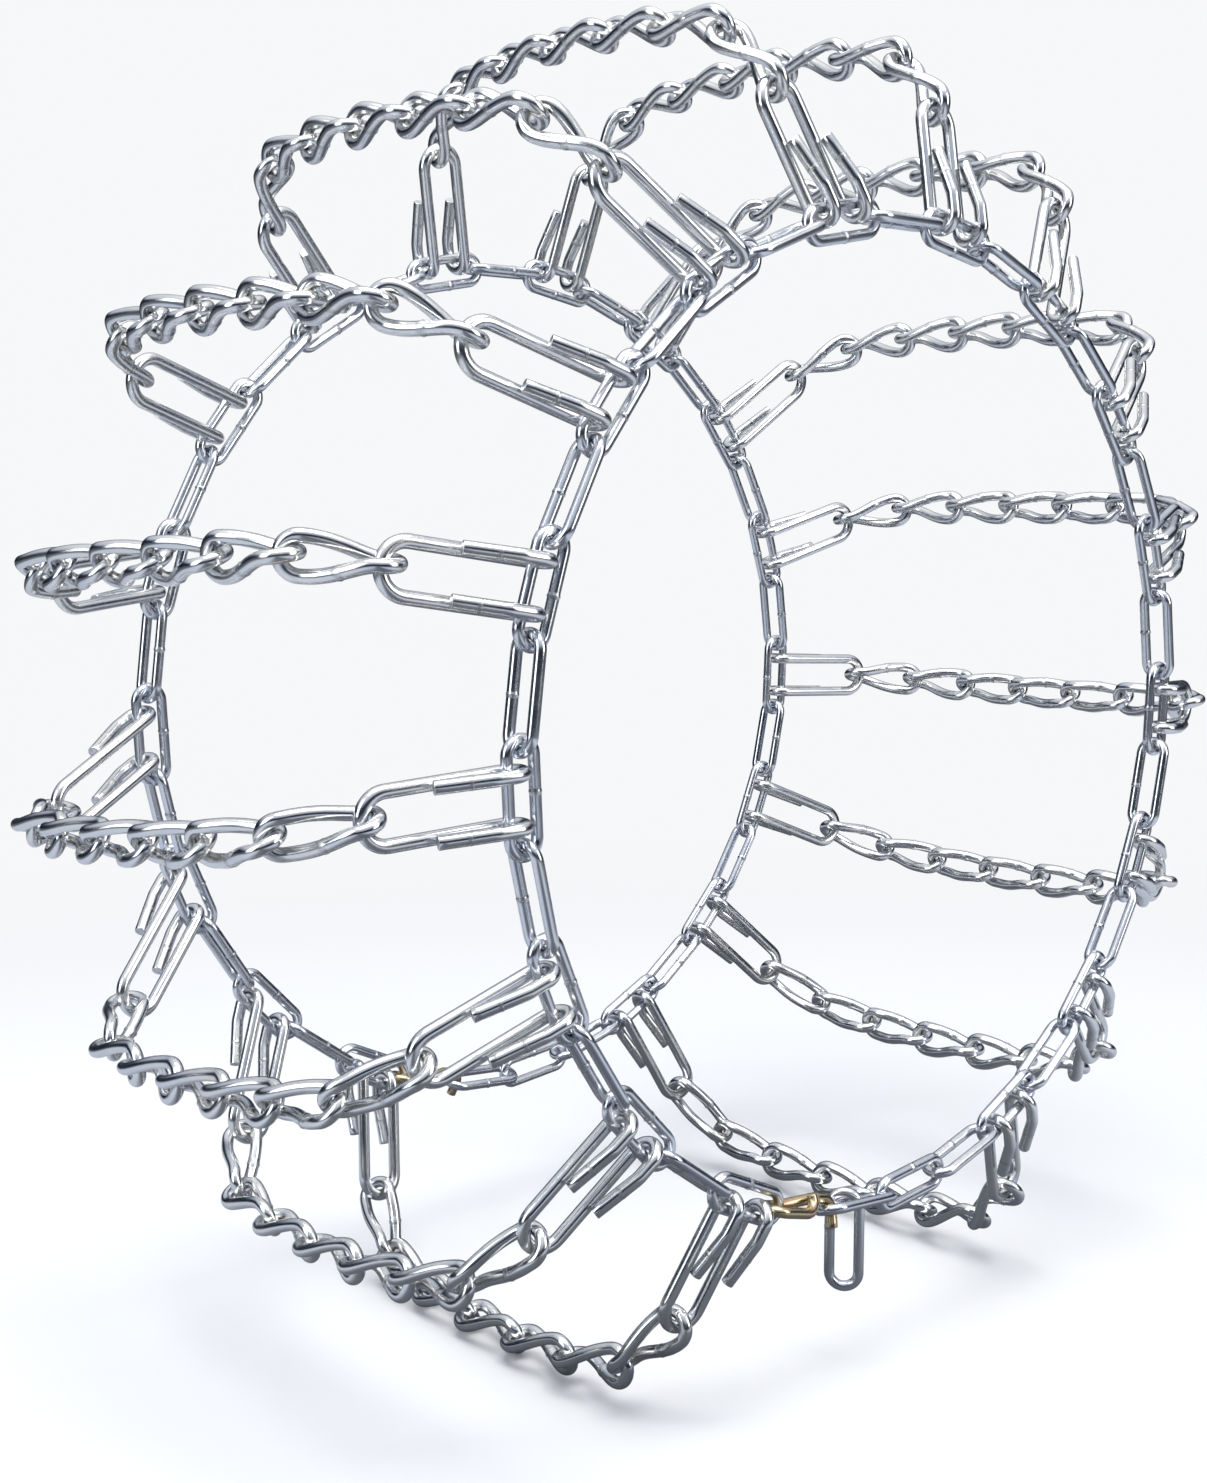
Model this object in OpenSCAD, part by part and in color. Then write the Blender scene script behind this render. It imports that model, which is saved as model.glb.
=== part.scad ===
// Tyre snow chain for a small tractor tyre, in the shape it has when fitted.
//
// Two side chains lie beside the tyre, one on each sidewall, and short cross chains run over
// the tread between them. The tyre's axle is the Y axis, its middle is the origin, +Z is up
// and the outer sidewall faces -Y. Angles go round the tyre from straight down towards +X.

/* [Side chains] */
// Number of links in each side chain
side_links = 34; // [30:2:38]
// Radius of the circle that the link joints of a side chain lie on
ring_r = 184; // [170:1:200]
// Distance of a side chain from the middle of the tyre
side_y = 112; // [111:0.5:114]
// Diameter of the side chain wire
side_wire = 4; // [3.6:0.1:4.2]
// Distance between the two straight legs of a side link
side_w = 11.2; // [11:0.1:12]
// Length of the weld bead on a link
bead_len = 1.2; // [0.8:0.1:2]
// Height of the weld bead above the wire
bead_high = 0.25; // [0.1:0.05:0.4]
// Number of plain links between the fastener and the first cross chain
lead_links = 3; // [3:2:5]
// Turn of the first link about its length, so that the fastener can hook into it
first_turn = 18; // [16:1:20]

/* [Cross chains] */
// Length of a twisted link, between the middles of the wire at its two ends
twist_len = 36.6; // [36.2:0.1:37]
// Diameter of the cross chain wire
cross_wire = 4.8; // [4.4:0.1:4.8]
// Distance between the two legs of a twisted link, at its ends
twist_w = 12.5; // [12.5:0.1:13]
// Twist of a link from end to end
twist = 90; // [84:1:90]
// Radius of the joints of the middle link of a cross chain
crown_r = 262; // [258:1:266]
// Slope of the first and last twisted links against the axle
shoulder_slope = 44; // [42:1:45]
// Slope of the second and sixth twisted links
second_slope = 10; // [8:1:11]
// Slope of the third and fifth twisted links
third_slope = 3.5; // [2:0.5:4]
// Turn of the first and last twisted links about their length
shoulder_turn = 27; // [25:1:29]
// Turn of the second and sixth twisted links about their length
second_turn = 23; // [21:1:25]
// Turn of the third and fifth twisted links about their length
third_turn = 9; // [7:1:11]

/* [Hook links] */
// Distance between the two legs of a hook link
hook_w = 17; // [16:0.2:17.4]
// Straight length of a cut end next to its bend over the side link
hook_flat = 7; // [5:0.5:8]
// Length of the rest of a cut end, which is pressed back towards the leg
hook_tip = 19; // [15:0.5:20]
// Slope of the pressed part towards the leg
press = 16; // [10:1:16]
// Most that the outer shoulder of a cross chain has slipped round the tyre
outer_slip = 4.2; // [0:0.1:4.4]
// Most that the inner shoulder of a cross chain has slipped round the tyre
inner_slip = 5; // [0:0.1:5]
// Where round the tyre the outer shoulders have slipped most
outer_slip_at = 215; // [200:5:230]
// Where round the tyre the inner shoulders have slipped most
inner_slip_at = 275; // [260:5:280]
// Most that the middle of a cross chain has sunk round the tyre, past its shoulders
tread_sag = 0.7; // [0:0.1:0.7]

/* [Fastener] */
// Where round the tyre the fasteners are
fastener_at = -15.3; // [-18:0.1:-12]
// Distance that a fastener closes, from one link joint to the next
fastener_span = 31; // [29:0.5:32]
// Diameter of the fastener wire
clasp_wire = 4.2; // [4:0.1:4.4]
// Length of the straight stretch of the closed eye
eye_len = 11; // [9:0.5:12]
// Length of the straight end of the hook
clasp_tip = 6; // [5:0.5:7]
// Turn of the spare link about the vertical
spare_turn = -53; // [-58:1:-52]

/* [Hidden] */
$fn = 48;
gap = 0.3;
span_angle = 2 * asin(fastener_span / 2 / ring_r);
link_angle = (360 - span_angle) / side_links;
link_pitch = 2 * ring_r * sin(link_angle / 2);
first_joint = fastener_at + span_angle / 2;
mid_r = ring_r * cos(link_angle / 2);
cross_chains = (side_links - lead_links + 1) / 2;
side_bar = (side_wire + gap) / 2;
// How far the first link is pushed into the second one, as it is turned away from it
first_push = 0.2;
// Radius of the bend of a hook link round a side link, with some room between the wires
hook_r = (side_wire + cross_wire) / 2 + 0.8;
// How far a joint slides along the end bend of a leaning hook link
slide = 0.7;
// How much wider the wire is where it is bent sharply
kink = 0.12;
twist_links = 7;
slopes = [
    shoulder_slope, second_slope, third_slope, 0, -third_slope, -second_slope, -shoulder_slope
];
turns = [shoulder_turn, second_turn, third_turn, 0, -third_turn, -second_turn, -shoulder_turn];
// Extra room at each joint of a cross chain
play = [0.6, 0.6, 0.2, 0.2, 0.2, 0.2, 0.6, 0.6];
// Share of the overlap at each joint that the link before it takes
seat = [0, 0.12, 0.5, 0.5, 0.5, 0.5, 0.88, 1];
// Distances between the joints of a cross chain, and how far each link rises from the axle
steps = [for (j = [0:twist_links - 1]) twist_len - past(j, 1) - past(j + 1, 0)];
rises = [for (j = [0:twist_links - 1]) steps[j] * sin(slopes[j])];
shoulder_r = crown_r - add(rises, 3);
// How sharply the slip of the outer and the inner shoulders falls off round the tyre
outer_fall = 4;
inner_fall = 0.6;
// Room of the eye and the hook of a fastener round a side link
eye_room = 0.9;
hook_room = 0.5;
// Straight length of a fastener just before its hook
neck_len = 5;
// How far the end of the eye of a fastener comes round
eye_sweep = 110;
// Share of the eye's length at which its second side bends up to the hook
eye_share = 0.45;
// Extra room where the spare link hangs
spare_room = 1;

function add(list, n) = n == 0 ? 0 : list[n - 1] + add(list, n - 1);
function unit(v) = v / norm(v);
function two(n) = n < 10 ? str("0", n) : str(n);
function mirrored(p) = [p.x, -p.y, p.z];
// A length to the nearest hundredth, so that the stretches of a wire meet exactly
function neat(v) = round(v * 100) / 100;
// How far the link before joint j, or the one after it, reaches past the joint
function past(j, after) =
    (cross_wire + gap + play[j]) * (after == 1 ? 1 - seat[j] : seat[j]);
// Angle of the middle of side link i
function link_at(i) = first_joint + (i + 0.5) * link_angle;
// Index of the side link that cross chain k hangs on
function host(k) = lead_links + 2 * k;
// Distance of joint j of a cross chain from the axle
function joint_r(j) = shoulder_r + add(rises, j);
// How far joint j has slipped round the tyre, on a cross chain whose side links are at angle a
function slip(a, j) =
    let (t = j / twist_links)
    let (outer = outer_slip * pow(max(0, cos(a - outer_slip_at)), outer_fall))
    let (inner = inner_slip * pow(max(0, cos(a - inner_slip_at)), inner_fall))
    outer + (inner - outer) * t - tread_sag * sin(a) * 4 * t * (1 - t);
// Distance along the axle from joint j to the next one, so that they are steps[j] apart
function run(a, j) =
    let (p = joint_r(j))
    let (q = joint_r(j + 1))
    sqrt(steps[j] * steps[j] - p * p - q * q + 2 * p * q * cos(slip(a, j + 1) - slip(a, j)));
// Joint j of a cross chain, in a frame where its side links are straight below the axle
function tread_joint(a, j) =
    let (runs = [for (i = [0:twist_links - 1]) run(a, i)])
    let (y = add(runs, j) - add(runs, twist_links) / 2)
    let (r = joint_r(j))
    let (s = slip(a, j))
    [r * sin(s), y, -r * cos(s)];

SIDE_NODES = [for (i = [0:side_links - 1]) str("side_link_", two(i))];
CROSS_NODES = [for (k = [0:cross_chains - 1]) str("cross_chain_", two(k + 1))];

// A straight round wire from p to q
module rod(p, q, d) {
    v = q - p;
    translate(p)
        rotate([0, acos(v.z / norm(v)), atan2(v.y, v.x)])
            cylinder(h = norm(v), d = d);
}

// A round wire bent to a circular arc in the XY plane
module bend(r, d, from, sweep) {
    rotate([0, 0, from])
        rotate_extrude(angle = sweep)
            translate([r, 0]) circle(d = d);
}

// Children stand at p, with their X axis along x and their Y axis as near to y as it can be
module stand(p, x, y) {
    a = unit(x);
    c = unit(cross(a, y));
    b = cross(c, a);
    multmatrix([
        [a.x, b.x, c.x, p.x],
        [a.y, b.y, c.y, p.y],
        [a.z, b.z, c.z, p.z],
        [0, 0, 0, 1]
    ]) children();
}

// A welded straight link along X, with its width along Y
module straight_link() {
    r = side_w / 2;
    half = neat(link_pitch / 2 + side_bar - r);
    for (s = [-1, 1]) {
        translate([s * half, 0, 0]) bend(r, side_wire, -90 * s, 180);
        rod([-half, s * r, 0], [half, s * r, 0], side_wire);
    }
    rod([-bead_len / 2, r, 0], [bead_len / 2, r, 0], side_wire + 2 * bead_high);
}

// One link of the outer side chain, and its twin on the inner side chain
module side_link(i) {
    turn = i == 0 ? -first_turn : (i % 2 == 0 ? 0 : 90);
    push = i == 0 ? first_push : 0;
    color("silver")
        for (m = [0, 1])
            mirror([0, m, 0])
                rotate([0, -link_at(i), 0])
                    translate([push, -side_y, -mid_r])
                        rotate([turn, 0, 0]) straight_link();
}

// A twisted link along X, with its middle at the origin
module twisted_link() {
    r = twist_w / 2;
    half = twist_len / 2 - r;
    y = r * cos(twist / 2);
    z = r * sin(twist / 2);
    for (s = [-1, 1])
        rotate([-s * twist / 2, 0, 0])
            translate([s * half, 0, 0]) bend(r, cross_wire, -90 * s, 180);
    for (s = [-1, 1]) {
        rod([-half, s * y, s * z], [half, s * y, -s * z], cross_wire);
        translate([-half, s * y, s * z]) sphere(d = cross_wire + 2 * kink);
        translate([half, s * y, -s * z]) sphere(d = cross_wire + 2 * kink);
    }
}

// The twisted links of the cross chain whose side links are at angle a
module tread_links(a) {
    for (j = [0:twist_links - 1]) {
        p = tread_joint(a, j);
        q = tread_joint(a, j + 1);
        stand(p, q - p, [-p.z - q.z, 0, p.x + q.x])
            translate([twist_len / 2 - past(j, 1), 0, 0])
                rotate([turns[j], 0, 0]) twisted_link();
    }
}

// A hook link: a long U that holds joint p of a cross chain. Its two legs pass between the
// tyre and the outer leg of a side link, turn round it and are pressed back to the legs.
module hook_link(p) {
    root = [0, -side_y, -mid_r - side_w / 2];
    lean = p.x / norm(p - root);
    leg = root + [hook_r * lean, 0, 0];
    reach = p + [slide * lean * hook_w / 2, 0, 0] - leg;
    flat = [0, reach.y, reach.z];
    tilt = asin(hook_r / norm(flat));
    z = unit(flat) * sin(tilt) + cross([1, 0, 0], unit(flat)) * cos(tilt);
    top = reach - z * hook_r;
    x = unit(top);
    y = cross(z, x);
    u_x = neat(norm(top) - hook_w / 2);
    stand(leg, x, y) {
        translate([u_x, 0, hook_r]) bend(hook_w / 2, cross_wire, -90, 180);
        for (s = [-1, 1]) {
            w = s * hook_w / 2;
            b = neat(w * x.x / y.x);
            rod([b, w, hook_r], [u_x, w, hook_r], cross_wire);
            translate([b, w, 0]) rotate([90, 0, 0]) bend(hook_r, cross_wire, 90, 180);
            fold = [b + hook_flat, w, -hook_r];
            rod([b, w, -hook_r], fold, cross_wire);
            translate(fold) sphere(d = cross_wire + 2 * kink);
            rod(fold, fold + hook_tip * [cos(press), 0, sin(press)], cross_wire);
        }
    }
}

// Cross chain k: twisted links over the tread, with a hook link at each end
module cross_chain(k) {
    a = link_at(host(k));
    color("gainsboro")
        rotate([0, -a, 0]) {
            tread_links(a);
            hook_link(tread_joint(a, 0));
            mirror([0, 1, 0]) hook_link(mirrored(tread_joint(a, twist_links)));
        }
}

// A wire fastener. Its closed eye is round the end of the last side link, and its hook goes
// over the end of the first one and down through it.
module fastener() {
    fall = (link_angle + span_angle) / 2;
    eye_r = (side_wire + clasp_wire) / 2 + eye_room;
    hook_in = (side_wire + clasp_wire) / 2 + hook_room;
    reach = fastener_span - 2 * side_bar * cos(fall);
    back = eye_len * eye_share;
    neck = [reach - neck_len, hook_in * sin(first_turn), hook_in * cos(first_turn)];
    sharp = clasp_wire + 2 * kink;
    color("goldenrod")
        rotate([0, -fastener_at, 0])
            translate([-reach / 2, -side_y, -ring_r * cos(span_angle / 2) - side_bar * sin(fall)]) {
                bend(eye_r, clasp_wire, 90, 180);
                rod([0, -eye_r, 0], [eye_len, -eye_r, 0], clasp_wire);
                translate([eye_len, 0, 0]) bend(eye_r, clasp_wire, -90, eye_sweep);
                rod([0, eye_r, 0], [back, eye_r, 0], clasp_wire);
                translate([back, eye_r, 0]) sphere(d = sharp);
                rod([back, eye_r, 0], neck, clasp_wire);
                translate(neck) sphere(d = sharp);
                translate([reach, 0, 0])
                    rotate([90 - first_turn, 0, 0]) {
                        rod([-neck_len, hook_in, 0], [0, hook_in, 0], clasp_wire);
                        bend(hook_in, clasp_wire, 0, 90);
                        rod([hook_in, 0, 0], [hook_in, -clasp_tip, 0], clasp_wire);
                    }
            }
}

module outer_fastener() {
    fastener();
}

module inner_fastener() {
    mirror([0, 1, 0]) fastener();
}

// A spare link of side chain that hangs from the far leg of the first outer link
module spare_link() {
    r = side_w / 2;
    drop = link_pitch / 2 + side_bar - r + spare_room;
    color("silver")
        rotate([0, -link_at(0), 0])
            translate([first_push, r * cos(first_turn) - side_y, -mid_r - r * sin(first_turn)])
                rotate([0, link_at(0), 0])
                    rotate([0, 0, spare_turn])
                        translate([0, 0, -drop])
                            rotate([0, 90, 90]) straight_link();
}

for (i = [0:side_links - 1])
    side_link(i);
for (k = [0:cross_chains - 1])
    cross_chain(k);
outer_fastener();
inner_fastener();
spare_link();
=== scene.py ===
"""Looks of a tyre snow chain in its fitted shape: every link as a smooth swept wire.

Each CAD node is replaced by one piece on the same body. The paths of the wires repeat the
driving dimensions of the CAD part, in millimetres, and become metres when a mesh is made.
Angles round the tyre are in degrees, from straight down towards +X.
"""

import math

import bpy
import numpy as np
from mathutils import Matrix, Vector


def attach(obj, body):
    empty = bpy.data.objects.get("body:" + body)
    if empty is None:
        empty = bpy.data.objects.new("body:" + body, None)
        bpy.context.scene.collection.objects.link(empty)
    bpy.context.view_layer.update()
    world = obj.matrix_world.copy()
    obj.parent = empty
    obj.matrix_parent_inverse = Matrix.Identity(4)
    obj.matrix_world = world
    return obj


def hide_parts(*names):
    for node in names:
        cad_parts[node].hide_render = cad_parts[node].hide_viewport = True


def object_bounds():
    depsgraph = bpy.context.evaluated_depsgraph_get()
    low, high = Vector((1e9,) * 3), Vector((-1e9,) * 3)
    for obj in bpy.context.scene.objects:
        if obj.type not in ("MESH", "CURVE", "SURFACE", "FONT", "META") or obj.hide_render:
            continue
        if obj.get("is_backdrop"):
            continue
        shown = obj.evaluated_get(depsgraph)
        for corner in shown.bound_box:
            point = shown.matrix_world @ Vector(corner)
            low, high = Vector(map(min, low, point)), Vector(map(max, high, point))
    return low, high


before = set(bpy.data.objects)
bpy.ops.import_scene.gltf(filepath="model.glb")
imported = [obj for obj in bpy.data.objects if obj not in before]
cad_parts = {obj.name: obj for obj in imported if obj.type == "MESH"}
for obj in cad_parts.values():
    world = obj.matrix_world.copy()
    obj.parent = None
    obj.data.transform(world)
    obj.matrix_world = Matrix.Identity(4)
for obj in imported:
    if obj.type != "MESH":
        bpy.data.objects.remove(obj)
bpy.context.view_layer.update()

MM = 0.001
X, Y, Z = np.eye(3)
rng = np.random.default_rng(20)

# ---- driving dimensions, in millimetres and degrees ------------------------------------
SIDE_LINKS = 34
RING_R = 184.0
SIDE_Y = 112.0
SIDE_WIRE = 4.0
SIDE_W = 11.2
LEAD_LINKS = 3
FIRST_TURN = 18.0
FIRST_PUSH = 0.2

TWIST_LEN = 36.6
CROSS_WIRE = 4.8
TWIST_W = 12.5
TWIST = 90.0
CROWN_R = 262.0
SLOPES = [44.0, 10.0, 3.5, 0.0, -3.5, -10.0, -44.0]
TURNS = [27.0, 23.0, 9.0, 0.0, -9.0, -23.0, -27.0]
PLAY = [0.6, 0.6, 0.2, 0.2, 0.2, 0.2, 0.6, 0.6]
SEAT = [0.0, 0.12, 0.5, 0.5, 0.5, 0.5, 0.88, 1.0]
OUTER_SLIP, OUTER_SLIP_AT, OUTER_FALL = 4.2, 215.0, 4.0
INNER_SLIP, INNER_SLIP_AT, INNER_FALL = 5.0, 275.0, 0.6
TREAD_SAG = 0.7

HOOK_W = 17.0
HOOK_FLAT = 7.0
HOOK_TIP = 19.0
PRESS = 16.0
FOLD_R = 9.0
HOOK_ROOM = 0.8
SLIDE = 0.7

FASTENER_AT = -15.3
FASTENER_SPAN = 31.0
CLASP_WIRE = 4.2
EYE_LEN = 11.0
EYE_CURL = 62.0
CLASP_TIP = 6.0
EYE_ROOM = 0.9
CLASP_ROOM = 0.5
EYE_SHARE = 0.45
NECK_LEN = 5.0
EYE_END = 20.0
SPARE_TURN = -53.0
SPARE_ROOM = 1.0
GAP = 0.3

SPAN_ANGLE = 2 * math.degrees(math.asin(FASTENER_SPAN / 2 / RING_R))
LINK_ANGLE = (360 - SPAN_ANGLE) / SIDE_LINKS
LINK_PITCH = 2 * RING_R * math.sin(math.radians(LINK_ANGLE / 2))
FIRST_JOINT = FASTENER_AT + SPAN_ANGLE / 2
MID_R = RING_R * math.cos(math.radians(LINK_ANGLE / 2))
SIDE_BAR = (SIDE_WIRE + GAP) / 2
LINK_LEN = LINK_PITCH + SIDE_WIRE + GAP
CROSS_CHAINS = (SIDE_LINKS - LEAD_LINKS + 1) // 2
TWIST_LINKS = len(SLOPES)

# ---- looks of the wires ----------------------------------------------------------------
SIDES = 20  # corners round a wire
BEND_STEP = 9.0  # degrees between the rings of a wire in a bend
WAIST = 0.14  # how much a twisted link narrows at its middle
WELD_HIGH, WELD_LONG = 0.26, 0.55  # flash of a butt weld, in mm
CROSS_WELD = 1.2  # how much higher it is on the thicker wire
WELD_SHIFT = 1.5  # most that a weld is off the middle of its leg, in mm
SPARE_WELD_SHIFT = 5.0
PRESS_HIGH, PRESS_LONG = 0.1, 0.4  # mark that the press left on a hook link, in mm
# Rings of a cut end: share of the wire's radius, height in mm, and material slot
CUT_PROFILE = [(0.985, 0.12, 0), (0.93, 0.24, 0), (0.88, 0.25, 1), (0.6, 0.17, 1), (0.28, 0.13, 1)]
CUT_LEAN = 0.1
CUT_DIP = 0.01
PRESS_SPREAD = 1.2  # how much the press of the cut ends varies, in degrees
TIP_LEAN = 0.03  # how much the cut ends lean sideways, as a slope


def turn(axis, degrees):
    """3x3 rotation about a unit axis."""
    a = math.radians(degrees)
    k = np.cross(np.eye(3), axis)
    return np.eye(3) + math.sin(a) * k + (1 - math.cos(a)) * k @ k


def unit(v):
    return np.asarray(v, float) / np.linalg.norm(v)


def basis(x, y):
    """Columns x, y, z of a frame with its x along x and its y as near to y as it can be."""
    a = unit(x)
    c = unit(np.cross(a, y))
    return np.stack([a, np.cross(c, a), c], axis=1)


def link_at(i):
    return FIRST_JOINT + (i + 0.5) * LINK_ANGLE


def host(k):
    return LEAD_LINKS + 2 * k


# ---- paths: lists of points in mm ------------------------------------------------------
def arc(centre, r, start, sweep, step=BEND_STEP):
    """Points of a circular arc in the XY plane."""
    n = max(2, int(abs(sweep) / step) + 1)
    t = np.radians(np.linspace(start, start + sweep, n))
    return np.asarray(centre, float) + r * np.stack([np.cos(t), np.sin(t), 0 * t], axis=1)


def line(p, q, step=3.0):
    """Points from p to q, without q."""
    p, q = np.asarray(p, float), np.asarray(q, float)
    n = max(1, round(float(np.linalg.norm(q - p)) / step))
    return p + (q - p) * np.arange(n)[:, None] / n


def marked_line(p, q, mark, reach=1.6, step=0.2):
    """Points from p to q, without q, close together within reach of a mark part of the way along."""
    p, q = np.asarray(p, float), np.asarray(q, float)
    length = float(np.linalg.norm(q - p))
    at = mark * length
    near = np.arange(at - reach, at + reach + step / 2, step)
    before = np.linspace(0, near[0], max(2, round(near[0] / 3)), endpoint=False)
    after = np.linspace(near[-1], length, max(2, round((length - near[-1]) / 3)), endpoint=False)[1:]
    s = np.concatenate([before, near, after])
    return p + (q - p) * s[:, None] / length


def stadium(length, width, weld_shift=0.0):
    """A closed link along X with its width along Y, and the place of its weld on the +Y leg."""
    r = width / 2
    half = length / 2 - r
    weld = 0.5 + weld_shift / (2 * half)
    return np.vstack([
        arc([half, 0, 0], r, -90, 180)[:-1],
        marked_line([half, r, 0], [-half, r, 0], weld),
        arc([-half, 0, 0], r, 90, 180)[:-1],
        line([-half, -r, 0], [half, -r, 0]),
    ]), np.array([half - weld * 2 * half, r, 0])


# ---- meshes ----------------------------------------------------------------------------
class Wires:
    """Collects swept wires, and makes one mesh object of them."""

    def __init__(self):
        self.verts, self.faces, self.uvs, self.slots = [], [], [], []
        self.dull, self.count = [], 0

    def add(self, points, diameter, closed, marks=()):
        """Sweeps a wire along points. marks are (place, height, half length) of rings that
        stand proud of it, such as weld flash."""
        p = np.asarray(points, float)
        n = len(p)
        ahead = np.roll(p, -1, axis=0) - p
        behind = p - np.roll(p, 1, axis=0)
        if not closed:
            ahead[-1], behind[0] = behind[-1], ahead[0]
        t = ahead / np.linalg.norm(ahead, axis=1)[:, None]
        t += behind / np.linalg.norm(behind, axis=1)[:, None]
        t /= np.linalg.norm(t, axis=1)[:, None]
        side = self.carried(t, closed)
        out = np.cross(t, side)

        steps = np.linalg.norm(np.diff(p, axis=0, append=p[:1]), axis=1)
        s = np.concatenate([[0], np.cumsum(steps)[:-1]])
        radius = np.full((n, SIDES), diameter / 2)
        dull = np.zeros((n, SIDES))
        angle = np.linspace(0, 2 * math.pi, SIDES, endpoint=False)
        for place, height, reach in marks:
            d = np.linalg.norm(p - place, axis=1)
            bump = np.exp(-((d / reach) ** 2))[:, None]
            phase = rng.uniform(0, 2 * math.pi, 2)
            ragged = 0.75 + 0.25 * np.sin(2 * angle + phase[0]) + 0.16 * np.sin(5 * angle + phase[1])
            radius += height * bump * ragged
            dull = np.maximum(dull, np.exp(-((d / (3 * reach)) ** 2))[:, None] * np.ones(SIDES))
        ring = (
            p[:, None, :]
            + radius[:, :, None] * np.cos(angle)[None, :, None] * side[:, None, :]
            + radius[:, :, None] * np.sin(angle)[None, :, None] * out[:, None, :]
        )
        start = self.count
        self.push(ring.reshape(-1, 3), dull.ravel())
        for a in range(n if closed else n - 1):
            b = (a + 1) % n
            v0, v1 = s[a], s[a] + steps[a]
            for c in range(SIDES):
                d = (c + 1) % SIDES
                near, far = start + a * SIDES, start + b * SIDES
                self.faces.append([near + c, near + d, far + d, far + c])
                self.uvs.append([(c, v0), (c + 1, v0), (c + 1, v1), (c, v1)])
                self.slots.append(0)
        if not closed:
            r = diameter / 2
            self.cap(p[0], -t[0], side[0], out[0], r, start, angle, True)
            last = start + (n - 1) * SIDES
            self.cap(p[-1], t[-1], side[-1], out[-1], r, last, angle, False)

    @staticmethod
    def carried(t, closed):
        """A side direction carried along the path without turning about it."""
        first = np.cross(t[0], Z if abs(t[0][2]) < 0.8 else X)
        side = [first / np.linalg.norm(first)]
        for k in range(1, len(t)):
            v = side[-1] - t[k] * (side[-1] @ t[k])
            side.append(v / np.linalg.norm(v))
        side = np.array(side)
        if closed:
            v = side[-1] - t[0] * (side[-1] @ t[0])
            off = math.atan2(np.cross(v, side[0]) @ t[0], v @ side[0])
            share = off * np.arange(len(t)) / len(t)
            out = np.cross(t, side)
            side = np.cos(share)[:, None] * side + np.sin(share)[:, None] * out
        return side

    def push(self, verts, dull):
        self.verts.append(verts)
        self.dull.append(dull)
        self.count += len(verts)

    def cap(self, centre, direction, side, out, r, first, angle, flip):
        """A sheared cut end: a short roll-over edge, a slightly hollow face and a burr."""
        lean = rng.uniform(0, 2 * math.pi)
        last, count = first, SIDES
        for share, rise, slot in CUT_PROFILE:
            tilt = rise + CUT_LEAN * share * np.cos(angle - lean)
            ring = (
                centre
                + r * share * (np.cos(angle)[:, None] * side + np.sin(angle)[:, None] * out)
                + tilt[:, None] * direction
            )
            start = self.count
            self.push(ring, np.zeros(count))
            for c in range(count):
                d = (c + 1) % count
                face = [last + c, last + d, start + d, start + c]
                self.faces.append(face[::-1] if flip else face)
                self.uvs.append([(c, 0), (c + 1, 0), (c + 1, rise), (c, rise)])
                self.slots.append(slot)
            last = start
        tip = self.count
        self.push((centre + (rise - CUT_DIP) * direction)[None, :], np.zeros(1))
        for c in range(count):
            face = [last + c, last + (c + 1) % count, tip]
            self.faces.append(face[::-1] if flip else face)
            self.uvs.append([(c, 0), (c + 1, 0), (c, 1)])
            self.slots.append(slot)

    def build(self, name, body, nodes, materials):
        """Makes the mesh object, and lets it ride on a body in place of CAD nodes."""
        mesh = bpy.data.meshes.new(name)
        verts = np.vstack(self.verts) * MM
        mesh.from_pydata(verts.tolist(), [], self.faces)
        layer = mesh.uv_layers.new(name="wire")
        flat = np.array([c for uv in self.uvs for c in uv], float)
        flat[:, 0] *= 1 / SIDES
        flat[:, 1] *= 0.1
        layer.data.foreach_set("uv", flat.astype(np.float32).ravel())
        dull = mesh.attributes.new("dull", "FLOAT", "POINT")
        dull.data.foreach_set("value", np.concatenate(self.dull).astype(np.float32))
        mesh.polygons.foreach_set("material_index", np.array(self.slots, np.int32))
        mesh.polygons.foreach_set("use_smooth", [True] * len(self.faces))
        for m in materials:
            mesh.materials.append(m)
        mesh.update()
        piece = bpy.data.objects.new(name, mesh)
        bpy.context.scene.collection.objects.link(piece)
        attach(piece, body)
        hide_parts(*nodes)
        return piece


# ---- the links -------------------------------------------------------------------------
def side_link_paths(i):
    """The outer and the inner link of number i, each with the place of its weld."""
    tilt = -FIRST_TURN if i == 0 else (0 if i % 2 == 0 else 90)
    for mirror in (1, -1):
        path, weld = stadium(LINK_LEN, SIDE_W, rng.uniform(-WELD_SHIFT, WELD_SHIFT))
        place = turn(Y, -link_at(i))
        push = FIRST_PUSH if i == 0 else 0
        local = lambda q: ((q @ turn(X, tilt).T) + [push, -SIDE_Y, -MID_R]) @ place.T * [1, mirror, 1]
        yield local(path), local(weld[None, :])[0]


def twisted_path(turned):
    """A twisted link along X with its middle at the origin, and the place of its weld."""
    r = TWIST_W / 2
    half = TWIST_LEN / 2 - r
    leg = np.linspace(1, -1, 25)[1:-1]
    far_end = arc([half, 0, 0], r, -90, 180)
    near_end = arc([-half, 0, 0], r, 90, 180)
    side = r * (1 - WAIST * (1 - leg**2) ** 2)
    out = np.stack([half * leg, side, 0 * leg], axis=1)
    back = np.stack([-half * leg, -side, 0 * leg], axis=1)
    flat = np.vstack([far_end, out, near_end, back])
    share = np.clip(flat[:, 0] / half, -1, 1)
    angle = np.radians(turned - TWIST / 2 * share * (1.4 - 0.4 * share**2))
    y, z = flat[:, 1], flat[:, 2]
    across = y * np.cos(angle) - z * np.sin(angle)
    up = y * np.sin(angle) + z * np.cos(angle)
    path = np.stack([flat[:, 0], across, up], axis=1)
    return path, path[len(far_end) + len(leg) // 2 + 1]


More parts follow.
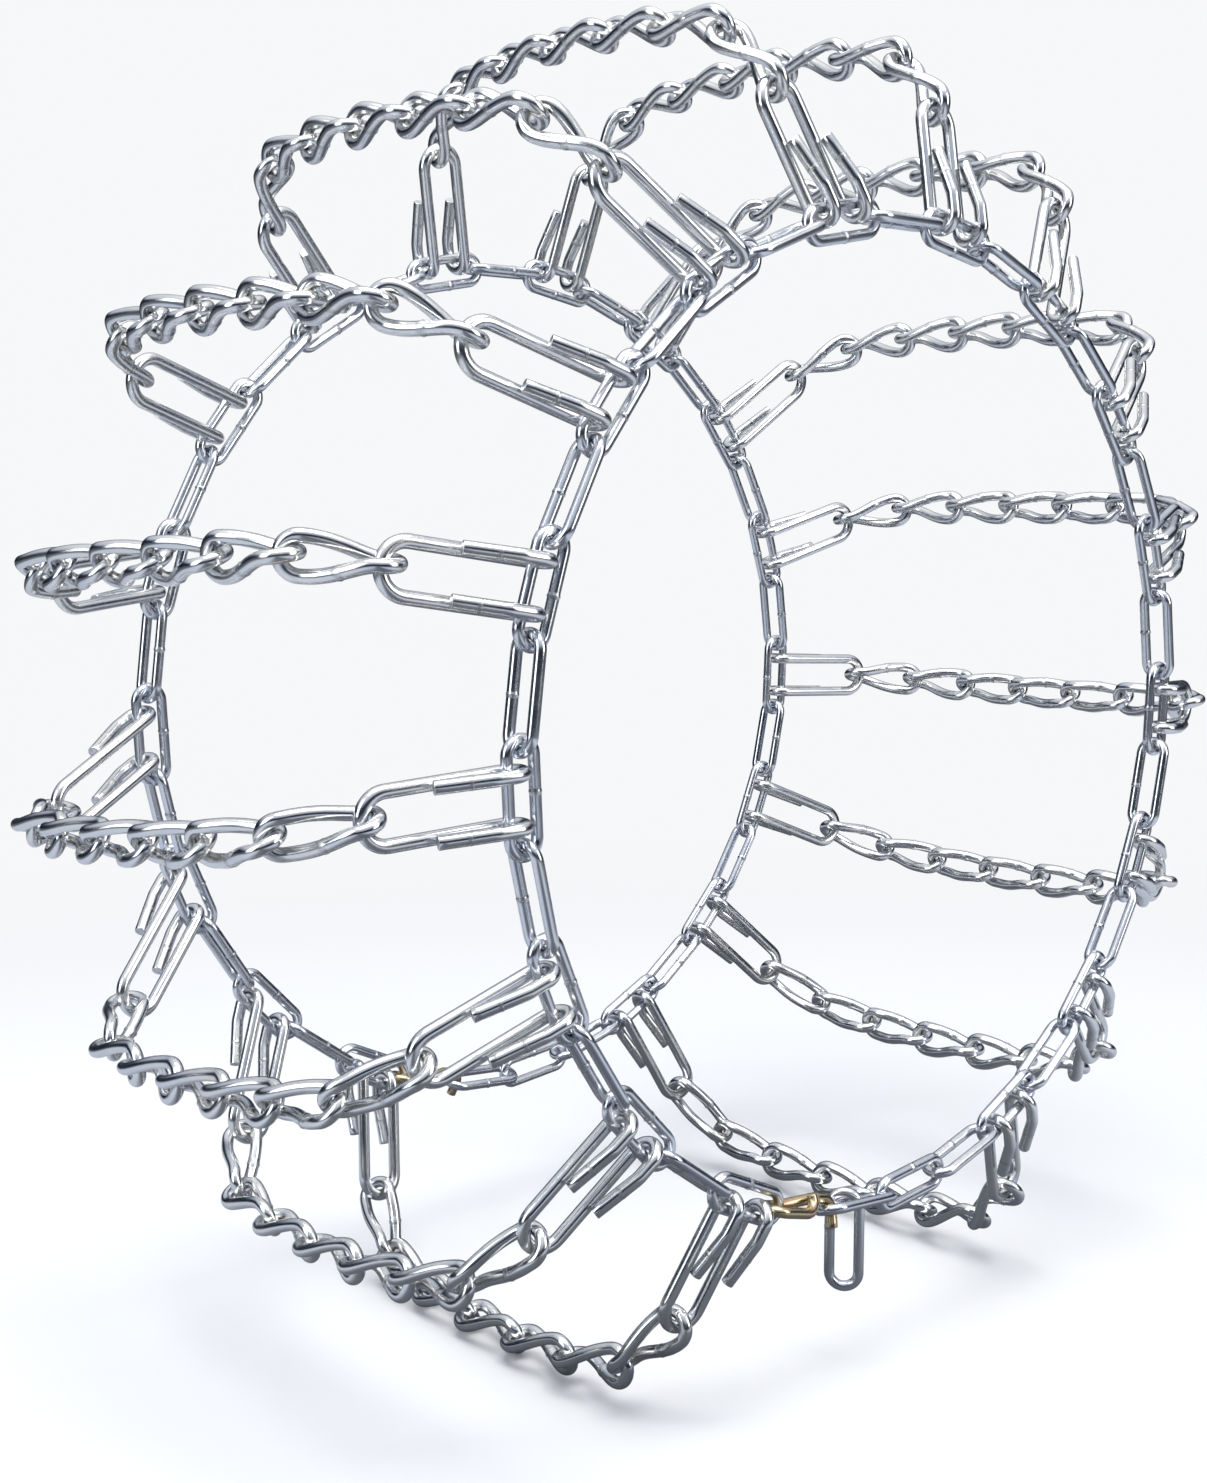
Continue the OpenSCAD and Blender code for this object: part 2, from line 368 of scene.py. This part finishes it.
def past(j, after):
    """How far the link before joint j, or the one after it, reaches past the joint."""
    return (CROSS_WIRE + GAP + PLAY[j]) * (1 - SEAT[j] if after else SEAT[j])


STEPS = [TWIST_LEN - past(j, True) - past(j + 1, False) for j in range(TWIST_LINKS)]
RISES = [s * math.sin(math.radians(a)) for s, a in zip(STEPS, SLOPES)]


def joint_r(j):
    return CROWN_R - sum(RISES[:3]) + sum(RISES[:j])


def slip(a, j):
    """How far joint j has slipped round the tyre, on the cross chain at angle a."""
    t = j / TWIST_LINKS
    outer = OUTER_SLIP * max(0, math.cos(math.radians(a - OUTER_SLIP_AT))) ** OUTER_FALL
    inner = INNER_SLIP * max(0, math.cos(math.radians(a - INNER_SLIP_AT))) ** INNER_FALL
    sag = TREAD_SAG * math.sin(math.radians(a)) * 4 * t * (1 - t)
    return math.radians(outer + (inner - outer) * t - sag)


def run(a, j):
    """Distance along the axle from joint j to the next one."""
    p, q = joint_r(j), joint_r(j + 1)
    return math.sqrt(STEPS[j] ** 2 - p * p - q * q + 2 * p * q * math.cos(slip(a, j + 1) - slip(a, j)))


def tread_joint(a, j):
    """Joint j of the cross chain at angle a, in a frame where its side links are straight down."""
    runs = [run(a, i) for i in range(TWIST_LINKS)]
    r, s = joint_r(j), slip(a, j)
    return np.array([r * math.sin(s), sum(runs[:j]) - sum(runs) / 2, -r * math.cos(s)])


def hook_link_path(p):
    """A hook link that holds joint p, from one cut end to the other, and its press marks."""
    hook_r = (SIDE_WIRE + CROSS_WIRE) / 2 + HOOK_ROOM
    root = np.array([0, -SIDE_Y, -MID_R - SIDE_W / 2])
    lean = p[0] / np.linalg.norm(p - root)
    leg = root + [hook_r * lean, 0, 0]
    reach = p + [SLIDE * lean * HOOK_W / 2, 0, 0] - leg
    flat = np.array([0, reach[1], reach[2]])
    tilt = math.asin(hook_r / np.linalg.norm(flat))
    z = unit(flat) * math.sin(tilt) + np.cross(X, unit(flat)) * math.cos(tilt)
    top = reach - z * hook_r
    x = unit(top)
    axes = np.stack([x, np.cross(z, x), z], axis=1)
    u_x = np.linalg.norm(top) - HOOK_W / 2

    halves, marks = [], []
    for s in (-1, 1):
        w = s * HOOK_W / 2
        b = w * axes[0, 0] / axes[0, 1]
        bend = arc([b, 0, 0], hook_r, 90, 180)[:, [0, 2, 1]] + [0, w, 0]
        press = PRESS + rng.uniform(-PRESS_SPREAD, PRESS_SPREAD)
        into = FOLD_R * math.tan(math.radians(press / 2))
        fold_at = [b + HOOK_FLAT - into, w, FOLD_R - hook_r]
        fold = arc([0, 0, 0], FOLD_R, -90, press, 3)[:, [0, 2, 1]] + fold_at
        away = unit(fold[-1] - fold[-2])
        away = unit(away + [0, rng.uniform(-TIP_LEAN, TIP_LEAN), 0])
        length = HOOK_TIP * rng.uniform(0.96, 1.0) - into
        mark = length * rng.uniform(0.3, 0.5)
        tip = marked_line(fold[-1], fold[-1] + away * length, mark / length)
        leg_line = line([u_x, w, hook_r], [b, w, hook_r])
        halves.append(np.vstack([leg_line[1:], bend, fold, tip[1:], [fold[-1] + away * length]]))
        marks.append(fold[-1] + away * mark)
    u = arc([u_x, 0, 0], HOOK_W / 2, -90, 180) + [0, 0, hook_r]
    path = np.vstack([halves[0][::-1], u, halves[1]])
    return path @ axes.T + leg, [m @ axes.T + leg for m in marks]


def fastener_path():
    """The wire of the outer fastener, from the end of its eye to the end of its hook."""
    fall = math.radians((LINK_ANGLE + SPAN_ANGLE) / 2)
    eye_r = (SIDE_WIRE + CLASP_WIRE) / 2 + EYE_ROOM
    hook_in = (SIDE_WIRE + CLASP_WIRE) / 2 + CLASP_ROOM
    reach = FASTENER_SPAN - 2 * SIDE_BAR * math.cos(fall)
    back = EYE_LEN * EYE_SHARE
    up = turn(X, 90 - FIRST_TURN)
    hook = np.vstack([
        line([-NECK_LEN, hook_in, 0], [0, hook_in, 0], 1.5),
        arc([0, 0, 0], hook_in, 90, -90),
        line([hook_in, -1, 0], [hook_in, -CLASP_TIP, 0], 1.5),
        [[hook_in, -CLASP_TIP, 0]],
    ]) @ up.T + [reach, 0, 0]
    curl = arc([EYE_LEN, eye_r, 0], eye_r, EYE_END, -90 - EYE_END) @ turn(X, EYE_CURL).T - [0, eye_r, 0]
    path = np.vstack([
        curl,
        line([EYE_LEN - 1, -eye_r, 0], [0, -eye_r, 0], 2),
        arc([0, 0, 0], eye_r, -90, -180),
        [[back * 0.5, eye_r, 0]],
        line([back, eye_r, 0], hook[0], 3)[1:],
        hook,
    ])
    height = RING_R * math.cos(math.radians(SPAN_ANGLE / 2)) + SIDE_BAR * math.sin(fall)
    place = [-reach / 2, -SIDE_Y, -height]
    return (path + place) @ turn(Y, -FASTENER_AT).T


def spare_path():
    r = SIDE_W / 2
    path, weld = stadium(LINK_LEN, SIDE_W, SPARE_WELD_SHIFT)
    drop = LINK_PITCH / 2 + SIDE_BAR - r + SPARE_ROOM
    tilt = math.radians(FIRST_TURN)
    root = np.array([FIRST_PUSH, r * math.cos(tilt) - SIDE_Y, -MID_R - r * math.sin(tilt)])
    hang = turn(Z, SPARE_TURN) @ turn(Z, 90) @ turn(Y, 90)
    place = turn(Y, -link_at(0))
    local = lambda q: (q @ hang.T + [0, 0, -drop]) + place @ root
    return local(path), local(weld[None, :])[0]


# ---- materials -------------------------------------------------------------------------
def new_material(name):
    m = bpy.data.materials.new(name)
    m.use_nodes = True
    return m, m.node_tree, m.node_tree.nodes["Principled BSDF"]


def node(tree, kind, **values):
    n = tree.nodes.new(kind)
    for key, value in values.items():
        if key in n.inputs:
            n.inputs[key].default_value = value
        else:
            setattr(n, key, value)
    return n


def ramp(tree, source, stops):
    """A colour ramp of (place, value or colour) stops, driven by source."""
    r = tree.nodes.new("ShaderNodeValToRGB")
    while len(r.color_ramp.elements) < len(stops):
        r.color_ramp.elements.new(0.5)
    for e, (place, value) in zip(r.color_ramp.elements, stops):
        e.position = place
        e.color = (value, value, value, 1) if isinstance(value, float) else (*value, 1)
    tree.links.new(source, r.inputs["Fac"])
    return r.outputs["Color"]


def mix(tree, kind, fac, a, b):
    """A colour mix. fac, a and b are sockets or constants."""
    n = node(tree, "ShaderNodeMix", data_type="RGBA", blend_type=kind)
    for socket, value in zip((n.inputs[0], n.inputs[6], n.inputs[7]), (fac, a, b)):
        if isinstance(value, bpy.types.NodeSocket):
            tree.links.new(value, socket)
        else:
            socket.default_value = value
    return n.outputs[2]


def plated(name, base, tint, shade, rough, dull_colour):
    """Bright plating on drawn wire: soft mottling, faint draw lines, and duller weld rings."""
    m, tree, shader = new_material(name)
    link = tree.links.new
    shader.inputs["Metallic"].default_value = 1.0
    where = node(tree, "ShaderNodeTexCoord")
    cloud = node(tree, "ShaderNodeTexNoise", Scale=70.0, Detail=2.0, Roughness=0.5)
    link(where.outputs["Object"], cloud.inputs["Vector"])
    speck = node(tree, "ShaderNodeTexNoise", Scale=700.0, Detail=2.0, Roughness=0.5)
    link(where.outputs["Object"], speck.inputs["Vector"])
    along = node(tree, "ShaderNodeMapping")
    along.inputs["Scale"].default_value = (9.0, 0.5, 1.0)
    uv = node(tree, "ShaderNodeUVMap", uv_map="wire")
    link(uv.outputs["UV"], along.inputs["Vector"])
    lines = node(tree, "ShaderNodeTexNoise", Scale=1.0, Detail=2.0, Roughness=0.5)
    link(along.outputs["Vector"], lines.inputs["Vector"])
    dull = node(tree, "ShaderNodeAttribute", attribute_name="dull")

    colour = ramp(tree, cloud.outputs["Fac"], [(0.38, base), (0.62, tint)])
    streak = ramp(tree, lines.outputs["Fac"], [(0.5, 0.0), (0.8, 0.3)])
    colour = mix(tree, "MIX", streak, colour, (*shade, 1))
    weld = ramp(tree, dull.outputs["Fac"], [(0.3, 0.0), (1.0, 0.6)])
    colour = mix(tree, "MIX", weld, colour, (*dull_colour, 1))
    link(colour, shader.inputs["Base Color"])

    low, high = rough
    gloss = ramp(tree, cloud.outputs["Fac"], [(0.3, low), (0.7, high)])
    gloss = mix(tree, "ADD", 1.0, gloss, ramp(tree, speck.outputs["Fac"], [(0.55, 0.0), (0.8, 0.03)]))
    gloss = mix(tree, "MIX", weld, gloss, (0.4, 0.4, 0.4, 1))
    link(gloss, shader.inputs["Roughness"])

    bump = node(tree, "ShaderNodeBump", Strength=0.015, Distance=0.0001)
    link(mix(tree, "ADD", 0.3, lines.outputs["Fac"], speck.outputs["Fac"]), bump.inputs["Height"])
    link(bump.outputs["Normal"], shader.inputs["Normal"])
    return m


def cut_face(name, base, shade):
    """A sheared wire end: bright burnished metal with a torn, grainy part."""
    m, tree, shader = new_material(name)
    link = tree.links.new
    shader.inputs["Metallic"].default_value = 1.0
    where = node(tree, "ShaderNodeTexCoord")
    grain = node(tree, "ShaderNodeTexNoise", Scale=900.0, Detail=3.0, Roughness=0.6)
    link(where.outputs["Object"], grain.inputs["Vector"])
    link(ramp(tree, grain.outputs["Fac"], [(0.35, base), (0.65, shade)]), shader.inputs["Base Color"])
    link(ramp(tree, grain.outputs["Fac"], [(0.3, 0.3), (0.7, 0.5)]), shader.inputs["Roughness"])
    bump = node(tree, "ShaderNodeBump", Strength=0.3, Distance=0.0002)
    link(grain.outputs["Fac"], bump.inputs["Height"])
    link(bump.outputs["Normal"], shader.inputs["Normal"])
    return m


# base, tint and streak colours, least and most roughness, and the colour of a weld
SIDE_ZINC = plated(
    "side_zinc", (0.73, 0.755, 0.805), (0.80, 0.81, 0.83), (0.56, 0.59, 0.65),
    (0.17, 0.24), (0.50, 0.51, 0.52),
)
CROSS_ZINC = plated(
    "cross_zinc", (0.77, 0.78, 0.80), (0.85, 0.845, 0.82), (0.61, 0.63, 0.66),
    (0.16, 0.23), (0.53, 0.53, 0.51),
)
YELLOW_ZINC = plated(
    "yellow_zinc", (0.66, 0.55, 0.33), (0.62, 0.43, 0.29), (0.52, 0.49, 0.33),
    (0.22, 0.30), (0.4, 0.3, 0.2),
)
ZINC_CUT = cut_face("zinc_cut_end", (0.80, 0.81, 0.83), (0.5, 0.5, 0.52))
COPPER_CUT = cut_face("copper_cut_end", (0.66, 0.36, 0.24), (0.42, 0.2, 0.13))

# ---- the pieces ------------------------------------------------------------------------
for i in range(SIDE_LINKS):
    wires = Wires()
    for path, weld in side_link_paths(i):
        wires.add(path, SIDE_WIRE, True, [(weld, WELD_HIGH, WELD_LONG)])
    nodes = [f"side_link_{i:02d}"]
    wires.build(f"side_links_{i:02d}", f"link_{i:02d}", nodes, [SIDE_ZINC, ZINC_CUT])

for k in range(CROSS_CHAINS):
    wires = Wires()
    a = link_at(host(k))
    place = turn(Y, -a)
    for j in range(TWIST_LINKS):
        p, q = tread_joint(a, j), tread_joint(a, j + 1)
        axes = basis(q - p, [-p[2] - q[2], 0, p[0] + q[0]])
        path, weld = twisted_path(TURNS[j])
        middle = p + axes[:, 0] * (TWIST_LEN / 2 - past(j, True))
        wires.add((path @ axes.T + middle) @ place.T, CROSS_WIRE, True,
                  [((weld @ axes.T + middle) @ place.T, WELD_HIGH * CROSS_WELD, WELD_LONG)])
    for mirror, p in ((1, tread_joint(a, 0)), (-1, tread_joint(a, TWIST_LINKS))):
        path, marks = hook_link_path(p * [1, mirror, 1])
        wires.add((path * [1, mirror, 1]) @ place.T, CROSS_WIRE, False,
                  [((m * [1, mirror, 1]) @ place.T, PRESS_HIGH, PRESS_LONG) for m in marks])
    body = f"link_{host(k):02d}"
    nodes = [f"cross_chain_{k + 1:02d}"]
    wires.build(f"cross_links_{k + 1:02d}", body, nodes, [CROSS_ZINC, ZINC_CUT])

for name, mirror in (("outer_fastener", 1), ("inner_fastener", -1)):
    wires = Wires()
    wires.add(fastener_path() * [1, mirror, 1], CLASP_WIRE, False)
    wires.build(name + "_wire", name, [name], [YELLOW_ZINC, COPPER_CUT])

wires = Wires()
spare, spare_weld = spare_path()
wires.add(spare, SIDE_WIRE, True, [(spare_weld, WELD_HIGH, WELD_LONG)])
wires.build("spare_side_link", "spare_link", ["spare_link"], [SIDE_ZINC, ZINC_CUT])

# ---- floor, light and camera -----------------------------------------------------------
low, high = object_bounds()
FLOOR_SIZE = 24.0
BACKDROP = (0.93, 0.935, 0.945, 1)  # what the floor fades into
ASIDE = (0.7248, -0.6776, 0.0)  # across the view of the photo
DIM_FLOOR = [  # how the floor shows in the wires, from its middle to a metre aside
    (0.0, (0.09, 0.095, 0.11)),
    (0.15, (0.13, 0.14, 0.16)),
    (0.28, (0.44, 0.47, 0.53)),
    (0.7, (0.44, 0.47, 0.53)),
    (1.0, (0.12, 0.13, 0.15)),
]
FADE_FROM, FADE_TO = 0.3, 1.1  # metres from the middle of the floor


def make_floor():
    """A pale floor whose far part has the plain tone of the backdrop."""
    mesh = bpy.data.meshes.new("floor")
    h = FLOOR_SIZE / 2
    mesh.from_pydata([(-h, -h, 0), (h, -h, 0), (h, h, 0), (-h, h, 0)], [], [(0, 1, 2, 3)])
    floor = bpy.data.objects.new("floor", mesh)
    floor.location.z = low.z
    bpy.context.scene.collection.objects.link(floor)
    m, tree, shader = new_material("pale_floor")
    shader.inputs["Base Color"].default_value = (0.82, 0.825, 0.84, 1)
    shader.inputs["Roughness"].default_value = 0.7
    where = node(tree, "ShaderNodeTexCoord")
    away = node(tree, "ShaderNodeVectorMath", operation="LENGTH")
    tree.links.new(where.outputs["Object"], away.inputs[0])
    fade = node(tree, "ShaderNodeMapRange", interpolation_type="SMOOTHSTEP")
    fade.inputs["From Min"].default_value = FADE_FROM
    fade.inputs["From Max"].default_value = FADE_TO
    tree.links.new(away.outputs["Value"], fade.inputs["Value"])
    seen = node(tree, "ShaderNodeLightPath")
    share = node(tree, "ShaderNodeMath", operation="MULTIPLY")
    tree.links.new(fade.outputs["Result"], share.inputs[0])
    tree.links.new(seen.outputs["Is Camera Ray"], share.inputs[1])
    plain = node(tree, "ShaderNodeEmission", Color=BACKDROP, Strength=1.0)
    aside = node(tree, "ShaderNodeVectorMath", operation="DOT_PRODUCT")
    aside.inputs[1].default_value = ASIDE
    tree.links.new(where.outputs["Object"], aside.inputs[0])
    spread = node(tree, "ShaderNodeMath", operation="ABSOLUTE")
    tree.links.new(aside.outputs["Value"], spread.inputs[0])
    dim = node(tree, "ShaderNodeBsdfDiffuse")
    tree.links.new(ramp(tree, spread.outputs[0], DIM_FLOOR), dim.inputs["Color"])
    calm = node(tree, "ShaderNodeMixShader")
    tree.links.new(seen.outputs["Is Glossy Ray"], calm.inputs[0])
    tree.links.new(shader.outputs[0], calm.inputs[1])
    tree.links.new(dim.outputs[0], calm.inputs[2])
    blend = node(tree, "ShaderNodeMixShader")
    tree.links.new(share.outputs[0], blend.inputs[0])
    tree.links.new(calm.outputs[0], blend.inputs[1])
    tree.links.new(plain.outputs[0], blend.inputs[2])
    tree.links.new(blend.outputs[0], tree.nodes["Material Output"].inputs["Surface"])
    mesh.materials.append(m)
    floor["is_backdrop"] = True


def area_light(name, place, size, watts, colour, target=(0, 0, 0)):
    data = bpy.data.lights.new(name, "AREA")
    data.shape = "RECTANGLE"
    data.size, data.size_y = size
    data.energy = watts
    data.color = colour
    lamp = bpy.data.objects.new(name, data)
    lamp.location = place
    lamp.rotation_mode = "QUATERNION"
    lamp.rotation_quaternion = (Vector(target) - Vector(place)).to_track_quat("-Z", "Y")
    bpy.context.scene.collection.objects.link(lamp)


def make_world():
    """A pale backdrop. Reflections and light come from a dim room with a bright ceiling."""
    world = bpy.data.worlds.new("studio")
    bpy.context.scene.world = world
    world.use_nodes = True
    tree = world.node_tree
    back = tree.nodes["Background"]
    where = node(tree, "ShaderNodeTexCoord")
    split = node(tree, "ShaderNodeSeparateXYZ")
    tree.links.new(where.outputs["Generated"], split.inputs[0])
    height = node(tree, "ShaderNodeMapRange")
    height.inputs["From Min"].default_value = -1.0
    tree.links.new(split.outputs["Z"], height.inputs["Value"])
    room = ramp(tree, height.outputs["Result"], [
        (0.0, (0.12, 0.12, 0.12)),
        (0.5, (0.01, 0.012, 0.018)),
        (0.66, (0.015, 0.024, 0.045)),
        (0.76, (0.48, 0.53, 0.63)),
        (1.0, (1.0, 1.0, 1.0)),
    ])
    seen = node(tree, "ShaderNodeLightPath")
    colour = mix(tree, "MIX", seen.outputs["Is Camera Ray"], room, BACKDROP)
    tree.links.new(colour, back.inputs["Color"])
    back.inputs["Strength"].default_value = 1.0


def make_camera():
    data = bpy.data.cameras.new("camera")
    data.sensor_width = 36.0
    data.lens = 47.95
    data.clip_start, data.clip_end = 0.01, 100.0
    camera = bpy.data.objects.new("camera", data)
    camera.location = (-0.581, -0.575, 0.085)
    camera.rotation_mode = "QUATERNION"
    camera.rotation_quaternion = Vector((0.6776, 0.7248, -0.1243)).to_track_quat("-Z", "Y")
    bpy.context.scene.collection.objects.link(camera)
    bpy.context.scene.camera = camera


make_floor()
make_world()
area_light("top_softbox", (-0.2, -0.3, 1.5), (1.4, 1.0), 23, (1.0, 0.99, 0.97))
area_light("left_softbox", (-1.7, 0.1, 0.7), (0.8, 1.3), 11, (0.9, 0.95, 1.0))
area_light("right_softbox", (0.7, -1.7, 0.7), (0.8, 1.3), 11, (1.0, 0.98, 0.95))
make_camera()
bpy.context.scene.view_settings.view_transform = "Standard"

low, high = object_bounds()
